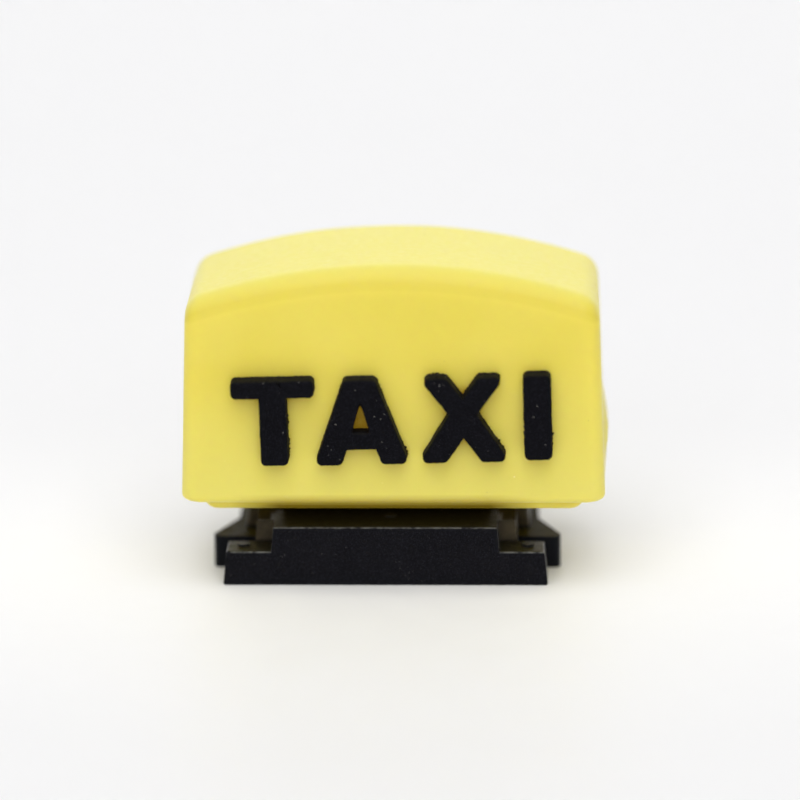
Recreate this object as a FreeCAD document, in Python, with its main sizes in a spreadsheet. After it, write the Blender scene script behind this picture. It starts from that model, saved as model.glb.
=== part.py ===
"""A miniature lit taxi roof sign on a moulded T-foot, as an assembly of separate pieces.

Millimetres. +X runs along the sign to the reader's right, +Y from the front face to the back, +Z up.
The origin is the middle of the foot's underside, where the sign stands.
"""

import FreeCAD, Part
import math
import os
import re

import Sketcher

DIMS = {
    # Foot: a T-profile nose bar and neck block, shoulders and posts that widen behind it, and two side wings.
    "foot_depth": 8.8,
    "bar_width": 17.24,
    "bar_height": 1.87,
    "bar_depth": 1.84,
    "block_width": 12.12,
    "block_height": 3.22,
    "block_depth": 3.6,
    "shoulder_width": 14.36,
    "shoulder_set": 1.9,
    "shoulder_height": 3.04,
    "post_width": 15.66,
    "post_set": 4.5,
    "wing_width": 18.6,
    "wing_height": 1.75,
    "wing_set": 3.11,
    "wing_waist": 16.2,
    "wing_waist_set": 6.4,
    "wing_root": 5.0,
    "wing_tip_length": 0.45,
    "wing_round": 0.36,
    "post_round": 0.24,
    "side_draft": 0.1,
    "pip_diameter": 0.66,
    "pip_height": 0.12,
    "pip_offset": 7.55,
    "pip_set": 1.13,
    "mark_diameter": 0.65,
    "mark_height": 0.06,
    "mark_x": 0.23,
    "mark_set": 2.1,
    "column_width": 11.2,
    "column_depth": 4.2,
    "column_middle": 1.1,
    "foot_round": 0.12,
    # Lamp head: the whole head sits a little to the right of the foot's middle.
    "head_offset": 0.46,
    "cover_bottom": 4.1,
    "cover_floor": 1.24,
    "rim_top": 7.3,
    "rim_wall": 0.7,
    "cover_end_gap": 0.14,
    "cover_side_gap": 0.06,
    "shell_bottom": 4.78,
    "shell_top": 17.54,
    "shell_width": 22.38,
    "eave_width": 21.64,
    "shell_depth": 10.76,
    "crown_radius": 31.9,
    "shell_wall": 1.0,
    "front_round": 1.28,
    "end_round": 0.8,
    "shell_lower_round": 0.45,
    "cover_round": 0.8,
    "cover_lower_round": 0.6,
    "notch_width": 4.0,
    "notch_top": 7.1,
    "gate_diameter": 4.0,
    "gate_middle_y": -0.6,
    "gate_middle_z": 7.7,
    "gate_height": 0.12,
    "cut_past": 1.0,
    # Letters.
    "letter_height": 4.6,
    "letter_relief": 0.95,
    "letter_stroke": 1.44,
    "letter_bar": 0.95,
    "letter_round": 0.28,
    "counter_round": 0.05,
    "letter_base": 7.305,
    "line_slope": 1.32,
    "t_width": 4.37,
    "a_width": 4.96,
    "a_top": 1.64,
    "a_foot": 1.42,
    "a_crossbar": 0.9,
    "a_foot_height": 0.83,
    "a_counter_width": 0.92,
    "a_counter_height": 1.72,
    "x_width": 4.78,
    "x_foot": 1.45,
    "x_arm": 1.436,
    "x_top_inset": 0.127,
    "x_lower_crotch": 1.32,
    "x_upper_crotch": 3.47,
    "x_waist": 1.48,
    "x_waist_height": 2.6,
    "t_start": 8.315,
    "a_start": 4.044,
    "x_start": 1.4,
    "i_start": 6.962,
    "middle_drop": 0.05,
    # Circuit board and what stands on it.
    "board_width": 19.8,
    "board_depth": 8.2,
    "board_thick": 0.6,
    "lead_hole": 0.6,
    "led_offset": 7.6,
    "led_diameter": 2.9,
    "led_flange": 3.2,
    "led_flange_height": 0.9,
    "led_height": 4.3,
    "led_standoff": 0.5,
    "led_lead": 0.45,
    "led_lead_overlap": 0.1,
    "led_crown_round": 1.39,
    "led_lead_pitch": 2.54,
    "lead_tail": 0.7,
    "cell_diameter": 6.8,
    "cell_thick": 2.6,
    "cell_cap": 5.2,
    "cell_step": 0.25,
    "cradle_floor": 0.4,
    "cradle_width": 10.8,
    "cradle_depth": 8.1,
    "cradle_wall": 0.55,
    "cradle_height": 3.2,
    "contact_thick": 0.22,
    "contact_width": 3.4,
    "contact_height": 5.2,
    "contact_reach": 1.35,
    "spring_crown_width": 0.55,
    "spring_fold_set": 0.4,
    "spring_fold_drop": 0.62,
    "spring_press_height": 3.22,
    "spring_tip_height": 1.56,
    # Slide switch.
    "switch_width": 6.6,
    "switch_depth": 2.4,
    "switch_front": 1.0,
    "switch_height": 1.8,
    "switch_wall": 0.4,
    "window_width": 3.4,
    "cavity_width": 4.5,
    "carriage_width": 2.4,
    "knob_width": 1.3,
    "knob_height": 0.7,
    "knob_reach": 6.1,
    "knob_round": 0.17,
    "switch_travel": 2.0,
    "slide_gap": 0.05,
    "terminal_width": 0.4,
    "terminal_pitch": 1.5,
    "terminal_length": 0.8,
    "terminal_thick": 0.2,
    # Resistor.
    "resistor_diameter": 1.3,
    "resistor_length": 3.2,
    "resistor_round": 0.26,
    "resistor_lead": 0.35,
    "resistor_lead_gap": 0.02,
    "resistor_pitch": 6.0,
    "resistor_y": -2.3,
    "resistor_z": 6.45,
    # Screws.
    "foot_screw_x": 4.0,
    "foot_screw_y": 0.0,
    "foot_screw_head": 2.2,
    "foot_screw_head_height": 0.7,
    "foot_screw_recess": 1.4,
    "foot_screw_shank": 1.2,
    "foot_screw_length": 4.1,
    "foot_screw_pilot_depth": 3.1,
    "foot_screw_pilot": 1.24,
    "foot_screw_clearance": 1.5,
    "board_screw_x": 8.5,
    "board_screw_y": 2.55,
    "board_screw_head": 1.8,
    "board_screw_head_height": 0.55,
    "board_screw_recess": 1.14,
    "board_screw_shank": 1.0,
    "board_screw_length": 2.2,
    "board_screw_pilot_depth": 1.7,
    "board_screw_pilot": 1.04,
    "board_screw_clearance": 1.25,
    "boss_diameter": 2.0,
    "recess_width": 0.22,
    "recess_depth": 0.3,
}

NORMAL_SIGN = {"XY_Plane": 1, "XZ_Plane": -1, "YZ_Plane": 1}
SIDE_SIGNS = {"front": 1, "rear": -1}

doc = FreeCAD.newDocument("taxi_roof_sign")
sheet = doc.addObject("Spreadsheet::Sheet", "dims")
for row, (alias, number) in enumerate(DIMS.items(), start=1):
    sheet.set(f"A{row}", alias)
    sheet.set(f"B{row}", str(number))
    sheet.setAlias(f"B{row}", alias)
doc.recompute()

nodes = []


def bound(expression):
    """The expression with each sheet alias written as dims.alias."""
    return re.sub(r"[A-Za-z_]\w*", lambda word: f"dims.{word[0]}" if word[0] in DIMS else word[0], expression)


def new_body(label, in_head=False):
    """A PartDesign body that is a node of the assembly; a head piece is shifted with the head."""
    body = doc.addObject("PartDesign::Body", label)
    body.Label = label
    if in_head:
        body.setExpression("Placement.Base.x", bound("head_offset"))
    nodes.append(body)
    return body


def sketch_on(body, name, plane, middle):
    """A sketch on one of the body's origin planes, moved along the row axis that the plane faces."""
    sketch = body.newObject("Sketcher::SketchObject", name)
    face = [item for item in body.Origin.OriginFeatures if item.Role == plane][0]
    sketch.AttachmentSupport = (face, [""])
    sketch.MapMode = "FlatFace"
    sign = NORMAL_SIGN[plane]
    sketch.setExpression("AttachmentOffset.Base.z", bound(f"{sign} * ({middle})"))
    return sketch


def pin_point(sketch, geometry, position, x, y):
    """Holds a point of the sketch at a place worked out from the sheet."""
    for kind, expression in (("DistanceX", x), ("DistanceY", y)):
        index = sketch.addConstraint(Sketcher.Constraint(kind, -1, 1, geometry, position, 1.0))
        sketch.setExpression(f"Constraints[{index}]", bound(expression))


def draw_polygon(sketch, corners):
    """A closed outline through corners, each an (x, y) pair of sheet expressions."""
    count = len(corners)
    first = sketch.GeometryCount
    ring = [2 * math.pi * i / count for i in range(count)]
    start = [FreeCAD.Vector(math.cos(angle), math.sin(angle), 0) for angle in ring]
    for i in range(count):
        sketch.addGeometry(Part.LineSegment(start[i], start[(i + 1) % count]))
    for i in range(count):
        following = first + (i + 1) % count
        sketch.addConstraint(Sketcher.Constraint("Coincident", first + i, 2, following, 1))
    for i, (x, y) in enumerate(corners):
        pin_point(sketch, first + i, 1, x, y)


def draw_circle(sketch, x, y, diameter):
    """A circle with its middle and diameter from the sheet."""
    circle = Part.Circle(FreeCAD.Vector(1, 1, 0), FreeCAD.Vector(0, 0, 1), 1.0)
    index = sketch.addGeometry(circle)
    pin_point(sketch, index, 3, x, y)
    size = sketch.addConstraint(Sketcher.Constraint("Diameter", index, 2.0))
    sketch.setExpression(f"Constraints[{size}]", bound(diameter))


def extrude(body, name, sketch, length, cut=False):
    """Pads or pockets a sketch by length, half to each side of it."""
    feature = body.newObject("PartDesign::Pocket" if cut else "PartDesign::Pad", name)
    feature.Profile = sketch
    feature.SideType = "Symmetric"
    feature.setExpression("Length", bound(length))
    doc.recompute()
    return feature


def span(low, high):
    """The middle and the length of the stretch between two expressions."""
    return f"(({low}) + ({high})) / 2", f"({high}) - ({low})"


def prism(body, name, plane, corners, low, high, cut=False):
    """A straight-sided solid or cut with one polygon outline, from low to high along the plane's axis."""
    middle, length = span(low, high)
    sketch = sketch_on(body, f"{name}_outline", plane, middle)
    draw_polygon(sketch, corners)
    return extrude(body, name, sketch, length, cut)


def discs(body, name, plane, centres, diameter, low, high, cut=False):
    """Round bosses or holes of one diameter at several centres."""
    middle, length = span(low, high)
    sketch = sketch_on(body, f"{name}_outline", plane, middle)
    for x, y in centres:
        draw_circle(sketch, x, y, diameter)
    return extrude(body, name, sketch, length, cut)


def rectangle(x_low, x_high, y_low, y_high):
    """The four corners of a rectangle."""
    return [(x_low, y_low), (x_high, y_low), (x_high, y_high), (x_low, y_high)]


def centred(width, depth):
    """The corners of a rectangle about the axis."""
    return rectangle(f"-({width}) / 2", f"({width}) / 2", f"-({depth}) / 2", f"({depth}) / 2")


def box_solid(body, name, x_span, y_span, z_span, cut=False):
    """A rectangular solid or cut between three pairs of expressions."""
    return prism(body, name, "XY_Plane", rectangle(*x_span, *y_span), *z_span, cut=cut)


def round_edges(body, name, radius, chosen):
    """Fillets every edge of the body that chosen() accepts."""
    base = body.Tip
    names = [f"Edge{i}" for i, edge in enumerate(base.Shape.Edges, start=1) if chosen(edge)]
    fillet = body.newObject("PartDesign::Fillet", name)
    fillet.Base = (base, names)
    fillet.setExpression("Radius", bound(radius))
    doc.recompute()
    return fillet


def direction(edge):
    """The unit direction of a straight edge, or a zero vector for a curve."""
    if edge.Curve.TypeId != "Part::GeomLine":
        return FreeCAD.Vector(0, 0, 0)
    return edge.Curve.Direction


def runs_along(edge, axis, least=0.9):
    """True for a straight edge nearly parallel to a row axis, 0 for X, 1 for Y and 2 for Z."""
    return abs(direction(edge)[axis]) > least


FRONT = "-foot_depth / 2"
NEAR = 0.001


def foot_outline_block(half_bottom, half_top, z_low, z_high):
    """A trapezium in the XZ plane whose sides lean in by the moulding draft."""
    return [
        (f"-({half_bottom})", z_low),
        (half_bottom, z_low),
        (half_top, z_high),
        (f"-({half_top})", z_high),
    ]


def make_shoe_foot():
    """The black moulded foot: nose bar, neck block, shoulders, posts, wings, pips and the column."""
    body = new_body("shoe_foot")
    bar = foot_outline_block(
        "bar_width / 2", "bar_width / 2 - side_draft * bar_height", "0", "bar_height"
    )
    prism(body, "nose_bar", "XZ_Plane", bar, FRONT, f"{FRONT} + bar_depth")
    block = foot_outline_block(
        "block_width / 2 + side_draft * bar_height",
        "block_width / 2 - side_draft * (block_height - bar_height)",
        "0",
        "block_height",
    )
    prism(body, "neck_block", "XZ_Plane", block, FRONT, f"{FRONT} + block_depth")
    shoulder = foot_outline_block(
        "shoulder_width / 2",
        "shoulder_width / 2 - side_draft * shoulder_height",
        "0",
        "shoulder_height",
    )
    prism(body, "shoulders", "XZ_Plane", shoulder, f"{FRONT} + shoulder_set", "foot_depth / 2")
    post = foot_outline_block(
        "post_width / 2",
        "post_width / 2 - side_draft * shoulder_height",
        "0",
        "shoulder_height",
    )
    prism(body, "posts", "XZ_Plane", post, f"{FRONT} + post_set", "foot_depth / 2")
    round_edges(body, "post_corners", "post_round", is_post_corner)
    for side, sign in (("left", "-1"), ("right", "1")):
        wing = [
            (f"{sign} * wing_root", f"{FRONT} + wing_set"),
            (f"{sign} * wing_width / 2", f"{FRONT} + wing_set"),
            (f"{sign} * wing_width / 2", f"{FRONT} + wing_set + wing_tip_length"),
            (f"{sign} * wing_waist / 2", f"{FRONT} + wing_waist_set"),
            (f"{sign} * wing_waist / 2", "foot_depth / 2"),
            (f"{sign} * wing_root", "foot_depth / 2"),
        ]
        prism(body, f"wing_{side}", "XY_Plane", wing, "0", "wing_height")
    round_edges(body, "wing_tips", "wing_round", is_wing_tip)
    discs(
        body,
        "pips",
        "XY_Plane",
        [("-pip_offset", f"{FRONT} + pip_set"), ("pip_offset", f"{FRONT} + pip_set")],
        "pip_diameter",
        "bar_height",
        "bar_height + pip_height",
    )
    discs(
        body,
        "gate_mark",
        "XY_Plane",
        [("mark_x", f"{FRONT} + mark_set")],
        "mark_diameter",
        "block_height",
        "block_height + mark_height",
    )
    column = centred("column_width", "column_depth")
    column = [(x, f"({y}) + column_middle") for x, y in column]
    prism(body, "column", "XY_Plane", column, "shoulder_height", "cover_bottom")
    screws = [(f"{side} * foot_screw_x + head_offset", "foot_screw_y") for side in ("-1", "1")]
    screw_floor = "cover_bottom - foot_screw_pilot_depth"
    discs(
        body, "screw_holes", "XY_Plane", screws, "foot_screw_pilot", screw_floor, "cover_bottom", cut=True
    )
    round_edges(body, "bar_edges", "foot_round", is_bar_edge)


def is_post_corner(edge):
    """The upright front corners of the two posts."""
    post_front = -DIMS["foot_depth"] / 2 + DIMS["post_set"]
    middle = edge.CenterOfMass
    on_front = abs(middle.y - post_front) < NEAR
    return on_front and runs_along(edge, 2) and abs(middle.x) > DIMS["shoulder_width"] / 2


def is_wing_tip(edge):
    """The upright corners at the wings' outer ends."""
    return runs_along(edge, 2) and abs(edge.CenterOfMass.x) > DIMS["wing_width"] / 2 - NEAR


def is_bar_edge(edge):
    """The long top front edges of the nose bar and the neck block, and their outer ends."""
    front = -DIMS["foot_depth"] / 2
    middle = edge.CenterOfMass
    on_front = abs(middle.y - front) < NEAR
    end = DIMS["bar_width"] / 2 - DIMS["side_draft"] * DIMS["bar_height"] - NEAR
    on_bar_end = abs(middle.x) > end and middle.y < front + DIMS["bar_depth"]
    return (on_front and runs_along(edge, 0) and middle.z > NEAR) or (on_bar_end and runs_along(edge, 1))


def draw_crowned_profile(sketch, half_bottom, half_eave, z_bottom, z_top, radius):
    """The shell's front view: leaning ends and a top that is one arc about the middle."""
    low, rise, reach, big = 1.0, 10.0, 10.0, 30.0
    lean = math.asin(reach / big)
    eave = rise - big * (1 - math.cos(lean))
    corners = [(-reach, eave), (-reach, low), (reach, low), (reach, eave)]
    points = [FreeCAD.Vector(x, y, 0) for x, y in corners]
    for start, end in zip(points, points[1:]):
        sketch.addGeometry(Part.LineSegment(start, end))
    whole = Part.Circle(FreeCAD.Vector(0, rise - big, 0), FreeCAD.Vector(0, 0, 1), big)
    arc = sketch.addGeometry(Part.ArcOfCircle(whole, math.pi / 2 - lean, math.pi / 2 + lean))
    joins = ((0, 2, 1, 1), (1, 2, 2, 1), (2, 2, arc, 1), (0, 1, arc, 2))
    for first, first_end, second, second_end in joins:
        sketch.addConstraint(
            Sketcher.Constraint("Coincident", first, first_end, second, second_end)
        )
    pin_point(sketch, 0, 2, f"-({half_bottom})", z_bottom)
    pin_point(sketch, 2, 1, half_bottom, z_bottom)
    pin_point(sketch, arc, 3, "0", f"{z_top} - ({radius})")
    size = sketch.addConstraint(Sketcher.Constraint("Radius", arc, big))
    sketch.setExpression(f"Constraints[{size}]", bound(radius))
    for position, expression in ((1, half_eave), (2, f"-({half_eave})")):
        index = sketch.addConstraint(Sketcher.Constraint("DistanceX", -1, 1, arc, position, 1.0))
        sketch.setExpression(f"Constraints[{index}]", bound(expression))


def make_lamp_shell():
    """The yellow translucent shell: a crowned box, open below, with a notch for the switch knob."""
    body = new_body("lamp_shell", in_head=True)
    outer = sketch_on(body, "outer_profile", "XZ_Plane", "0")
    draw_crowned_profile(
        outer, "shell_width / 2", "eave_width / 2", "shell_bottom", "shell_top", "crown_radius"
    )
    extrude(body, "outer", outer, "shell_depth")
    round_edges(body, "crown_edges", "front_round", is_crown_edge)
    round_edges(body, "end_outlines", "end_round", is_end_outline)
    round_edges(body, "lower_outline", "shell_lower_round", at_height("shell_bottom"))
    scar = [("gate_middle_y", "gate_middle_z")]
    scar_top = "shell_width / 2 + gate_height"
    discs(body, "gate_scar", "YZ_Plane", scar, "gate_diameter", "eave_width / 2", scar_top)
    inner = sketch_on(body, "inner_profile", "XZ_Plane", "0")
    draw_crowned_profile(
        inner,
        "shell_width / 2 - shell_wall",
        "eave_width / 2 - shell_wall",
        "shell_bottom",
        "shell_top - shell_wall",
        "crown_radius - shell_wall",
    )
    extrude(body, "hollow", inner, "shell_depth - 2 * shell_wall", cut=True)
    box_solid(
        body,
        "knob_notch",
        ("-notch_width / 2", "notch_width / 2"),
        ("shell_depth / 2 - 2 * shell_wall", "shell_depth / 2 + cut_past"),
        ("shell_bottom - cut_past", "notch_top"),
        cut=True,
    )


def at_height(alias):
    """A test for edges that lie wholly in the level plane at a height in the sheet."""
    return lambda edge: abs(edge.BoundBox.ZMax - DIMS[alias]) < NEAR


def is_crown_edge(edge):
    """The front and back edges of the crown."""
    middle = edge.CenterOfMass
    on_face = abs(middle.y) > DIMS["shell_depth"] / 2 - NEAR
    return on_face and edge.Curve.TypeId == "Part::GeomCircle"


def is_end_outline(edge):
    """The edges of the two end faces, all but the bottom ones."""
    low, high = edge.BoundBox.XMin, edge.BoundBox.XMax
    far_out = max(abs(low), abs(high)) > DIMS["eave_width"] / 2 - NEAR
    on_end = far_out and high - low < DIMS["shell_width"] / 4
    return on_end and edge.CenterOfMass.z > DIMS["shell_bottom"] + NEAR


def make_base_cover():
    """The yellow plate that closes the shell: floor, rim and two screw bosses."""
    body = new_body("base_cover", in_head=True)
    width = "shell_width - 2 * shell_wall - 2 * cover_end_gap"
    depth = "shell_depth - 2 * shell_wall - 2 * cover_side_gap"
    floor_top = "cover_bottom + cover_floor"
    prism(body, "block", "XY_Plane", centred(width, depth), "cover_bottom", "rim_top")
    round_edges(body, "corners", "cover_round", lambda edge: runs_along(edge, 2))
    round_edges(body, "lower_edge", "cover_lower_round", at_height("cover_bottom"))
    inside = centred(f"{width} - 2 * rim_wall", f"{depth} - 2 * rim_wall")
    prism(body, "inside", "XY_Plane", inside, floor_top, "rim_top + cut_past", cut=True)
    bosses = [(f"{s} * board_screw_x", f"-({s}) * board_screw_y") for s in ("-1", "1")]
    discs(body, "bosses", "XY_Plane", bosses, "boss_diameter", floor_top, "rim_top")
    discs(
        body,
        "boss_holes",
        "XY_Plane",
        bosses,
        "board_screw_pilot",
        "rim_top - board_screw_pilot_depth",
        "rim_top",
        cut=True,
    )
    screws = [(f"{s} * foot_screw_x", "foot_screw_y") for s in ("-1", "1")]
    discs(
        body,
        "foot_screw_holes",
        "XY_Plane",
        screws,
        "foot_screw_clearance",
        "cover_bottom - cut_past",
        f"{floor_top} + cut_past",
        cut=True,
    )
    box_solid(
        body,
        "knob_gap",
        ("-notch_width / 2", "notch_width / 2"),
        ("shell_depth / 2 - 2 * shell_wall - rim_wall", "shell_depth / 2"),
        (floor_top, "rim_top + cut_past"),
        cut=True,
    )


def letter_t():
    """The outline of the T, with x from its own left edge and y from its foot."""
    low, high = "(t_width - letter_stroke) / 2", "(t_width + letter_stroke) / 2"
    under_bar = "letter_height - letter_bar"
    return [
        (low, "0"),
        (high, "0"),
        (high, under_bar),
        ("t_width", under_bar),
        ("t_width", "letter_height"),
        ("0", "letter_height"),
        ("0", under_bar),
        (low, under_bar),
    ]


def letter_a():
    """The outline of the A, with its foot notch."""
    lean = "(a_width - a_top) / 2 / letter_height"
    notch = f"a_foot + a_foot_height * {lean}"
    return [
        ("0", "0"),
        ("a_foot", "0"),
        (notch, "a_foot_height"),
        (f"a_width - ({notch})", "a_foot_height"),
        ("a_width - a_foot", "0"),
        ("a_width", "0"),
        ("(a_width + a_top) / 2", "letter_height"),
        ("(a_width - a_top) / 2", "letter_height"),
    ]


def letter_a_counter():
    """The small triangle through the A, above its crossbar."""
    low = "a_foot_height + a_crossbar"
    return [
        ("(a_width - a_counter_width) / 2", low),
        ("(a_width + a_counter_width) / 2", low),
        ("a_width / 2", f"{low} + a_counter_height"),
    ]


def letter_x():
    """The outline of the X, whose waist sits a little above the middle."""
    return [
        ("0", "0"),
        ("x_foot", "0"),
        ("x_width / 2", "x_lower_crotch"),
        ("x_width - x_foot", "0"),
        ("x_width", "0"),
        ("(x_width + x_waist) / 2", "x_waist_height"),
        ("x_width - x_top_inset", "letter_height"),
        ("x_width - x_top_inset - x_arm", "letter_height"),
        ("x_width / 2", "x_upper_crotch"),
        ("x_top_inset + x_arm", "letter_height"),
        ("x_top_inset", "letter_height"),
        ("(x_width - x_waist) / 2", "x_waist_height"),
    ]


def letter_i():
    """The outline of the I."""
    return rectangle("0", "letter_stroke", "0", "letter_height")


def make_letter(side, letter, outline, start, drop, counter=None):
    """One raised letter standing on the shell's front or back face; start is its left edge.

    drop is how far it hangs below the sloping line of the word.
    """
    body = new_body(f"{side}_letter_{letter}")
    prism(body, "slab", "XZ_Plane", outline, "-letter_relief", "0")
    slab = body.Tip.Shape
    round_edges(
        body,
        "corners",
        "letter_round",
        lambda edge: runs_along(edge, 1) and is_convex(slab, edge),
    )
    if counter:
        prism(body, "counter", "XZ_Plane", counter, "-letter_relief - cut_past", "cut_past", cut=True)
        half = DIMS["a_counter_width"] / 2
        middle = DIMS["a_width"] / 2
        round_edges(
            body,
            "counter_corners",
            "counter_round",
            lambda edge: runs_along(edge, 1) and is_in_counter(edge, middle, half),
        )
    sign = SIDE_SIGNS[side]
    slope = FreeCAD.Rotation(FreeCAD.Vector(0, 1, 0), -DIMS["line_slope"])
    facing = FreeCAD.Rotation(FreeCAD.Vector(0, 0, 1), 0 if side == "front" else 180)
    body.Placement = FreeCAD.Placement(FreeCAD.Vector(0, 0, 0), facing.multiply(slope))
    body.setExpression("Placement.Base.x", bound(f"head_offset + {sign} * ({start})"))
    body.setExpression("Placement.Base.y", bound(f"-({sign}) * shell_depth / 2"))
    body.setExpression("Placement.Base.z", bound(f"letter_base - {drop} + tan(line_slope) * ({start})"))


def is_convex(solid, edge):
    """True when less than half of a small circle about an edge that runs along Y lies in the solid."""
    reach = 0.03
    steps = 12
    inside = 0
    for step in range(steps):
        angle = 2 * math.pi * (step + 0.5) / steps
        probe = edge.CenterOfMass + FreeCAD.Vector(math.cos(angle), 0, math.sin(angle)) * reach
        inside += solid.isInside(probe, NEAR, False)
    return inside < steps / 2


def is_in_counter(edge, middle, half):
    """True for the three edges of the A's counter."""
    low = DIMS["a_foot_height"] + DIMS["a_crossbar"]
    high = low + DIMS["a_counter_height"]
    place = edge.CenterOfMass
    return abs(place.x - middle) < half + NEAR and low - NEAR < place.z < high + NEAR


def make_circuit_board():
    """The board: a thin plate with holes for screws, lamp leads and resistor leads."""
    body = new_body("circuit_board", in_head=True)
    top = "rim_top + board_thick"
    prism(body, "plate", "XY_Plane", centred("board_width", "board_depth"), "rim_top", top)
    round_edges(body, "corners", "cover_round", lambda edge: runs_along(edge, 2))
    screws = [(f"{s} * board_screw_x", f"-({s}) * board_screw_y") for s in ("-1", "1")]
    discs(
        body,
        "screw_holes",
        "XY_Plane",
        screws,
        "board_screw_clearance",
        "rim_top - cut_past",
        f"{top} + cut_past",
        cut=True,
    )
    leads = [
        (f"{s} * led_offset", f"{t} * led_lead_pitch / 2") for s in ("-1", "1") for t in ("-1", "1")
    ]
    leads += [(f"{s} * resistor_pitch / 2", "resistor_y") for s in ("-1", "1")]
    past = f"{top} + cut_past"
    discs(body, "lead_holes", "XY_Plane", leads, "lead_hole", "rim_top - cut_past", past, cut=True)


CELL_COUNT = 3
STACK_HALF = f"cell_thick * {CELL_COUNT} / 2"


def make_cradle():
    """The cell cradle: a floor and two side walls, hollowed to a round bed for the cells."""
    body = new_body("battery_cradle", in_head=True)
    floor = "rim_top + board_thick"
    block = centred("cradle_width", "cradle_depth")
    prism(body, "block", "XY_Plane", block, floor, f"{floor} + cradle_height")
    channel = "cradle_depth / 2 - cradle_wall"
    for side, low, high in (
        ("left", "-cradle_width", f"-({STACK_HALF})"),
        ("right", STACK_HALF, "cradle_width"),
    ):
        box_solid(
            body,
            f"{side}_bay",
            (low, high),
            (f"-({channel})", channel),
            (f"{floor} - cut_past", f"{floor} + cradle_height + cut_past"),
            cut=True,
        )
    discs(
        body,
        "cell_bed",
        "YZ_Plane",
        [("0", cell_middle_z())],
        "cell_diameter + 2 * slide_gap",
        f"-({STACK_HALF}) - cut_past",
        f"{STACK_HALF} + cut_past",
        cut=True,
    )


def cell_middle_z():
    """The height of the cells' axis."""
    return "rim_top + board_thick + cradle_floor + slide_gap + cell_diameter / 2"


def make_cell(label, index):
    """One button cell on edge: a can with a smaller raised cap towards the spring contact."""
    body = new_body(label, in_head=True)
    low = f"cell_thick * {index} - {STACK_HALF}"
    centre = [("0", cell_middle_z())]
    discs(body, "can", "YZ_Plane", centre, "cell_diameter", low, f"{low} + cell_thick - cell_step")
    round_edges(body, "can_edges", "cell_step", lambda edge: True)
    cap_low = f"{low} + cell_thick - cell_step"
    discs(body, "cap", "YZ_Plane", centre, "cell_cap", cap_low, f"{low} + cell_thick")


def make_positive_contact():
    """The fixed contact: an L of strip that stands against the left cell's can."""
    body = new_body("positive_contact", in_head=True)
    face = f"{STACK_HALF} + slide_gap / 2"
    floor = "rim_top + board_thick"
    outline = [
        (f"-({face})", floor),
        (f"-({face})", f"{floor} + contact_height"),
        (f"-({face}) - contact_thick", f"{floor} + contact_height"),
        (f"-({face}) - contact_thick", f"{floor} + contact_thick"),
        (f"-({face}) - contact_reach", f"{floor} + contact_thick"),
        (f"-({face}) - contact_reach", floor),
    ]
    prism(body, "strip", "XZ_Plane", outline, "-contact_width / 2", "contact_width / 2")


def make_negative_contact():
    """The spring contact: a strip folded back on itself so that its free leg presses on the right cell."""
    body = new_body("negative_contact", in_head=True)
    face = f"{STACK_HALF} + slide_gap / 2"
    back = f"{face} + contact_reach"
    floor = "rim_top + board_thick"
    top = f"{floor} + contact_height"
    fold = f"{top} - spring_fold_drop"
    press = f"{floor} + spring_press_height"
    tip = f"{floor} + spring_tip_height"
    outline = [
        (f"{face} + contact_thick", floor),
        (back, floor),
        (back, top),
        (f"{back} - spring_crown_width", f"{top} + contact_thick"),
        (f"{face} + spring_fold_set", fold),
        (face, press),
        (f"{face} + contact_thick", tip),
        (f"{face} + 2 * contact_thick", tip),
        (f"{face} + contact_thick", press),
        (f"{face} + spring_fold_set + contact_thick / 2", f"{fold} - contact_thick / 2"),
        (f"{back} - 2 * contact_thick", f"{top} - contact_thick / 2"),
        (f"{back} - contact_thick", f"{top} - contact_thick"),
        (f"{back} - contact_thick", f"{floor} + contact_thick"),
        (f"{face} + contact_thick", f"{floor} + contact_thick"),
    ]
    prism(body, "strip", "XZ_Plane", outline, "-contact_width / 2", "contact_width / 2")


def make_led(label, sign):
    """A round lamp: flanged dome, and two leads through the board."""
    body = new_body(label, in_head=True)
    base = "rim_top + board_thick + led_standoff"
    centre = [(f"{sign} * led_offset", "0")]
    discs(body, "flange", "XY_Plane", centre, "led_flange", base, f"{base} + led_flange_height")
    discs(body, "dome", "XY_Plane", centre, "led_diameter", base, f"{base} + led_height")
    summit = DIMS["rim_top"] + DIMS["board_thick"] + DIMS["led_standoff"] + DIMS["led_height"]
    round_edges(body, "crown", "led_crown_round", lambda edge: edge.CenterOfMass.z > summit - NEAR)
    leads = [(f"{sign} * led_offset", f"{t} * led_lead_pitch / 2") for t in ("-1", "1")]
    root = f"{base} + led_lead_overlap"
    discs(body, "leads", "XY_Plane", leads, "led_lead", "rim_top - lead_tail", root)


def make_resistor():
    """An axial resistor under the board, its leads turned up through the board."""
    body = new_body("resistor", in_head=True)
    centre = [("resistor_y", "resistor_z")]
    half = "resistor_length / 2"
    discs(body, "barrel", "YZ_Plane", centre, "resistor_diameter", f"-({half})", half)
    round_edges(body, "barrel_ends", "resistor_round", lambda edge: True)
    reach = "resistor_pitch / 2 + resistor_lead / 2"
    discs(body, "wire", "YZ_Plane", centre, "resistor_lead", f"-({reach})", reach)
    legs = [(f"{s} * resistor_pitch / 2", "resistor_y") for s in ("-1", "1")]
    leg_top = "rim_top + board_thick - resistor_lead_gap"
    discs(body, "legs", "XY_Plane", legs, "resistor_lead", "resistor_z", leg_top)


SWITCH_BACK = "switch_front + switch_depth"
SWITCH_LOW = "rim_top - switch_height"
SWITCH_MIDDLE = "rim_top - switch_height / 2"


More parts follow.
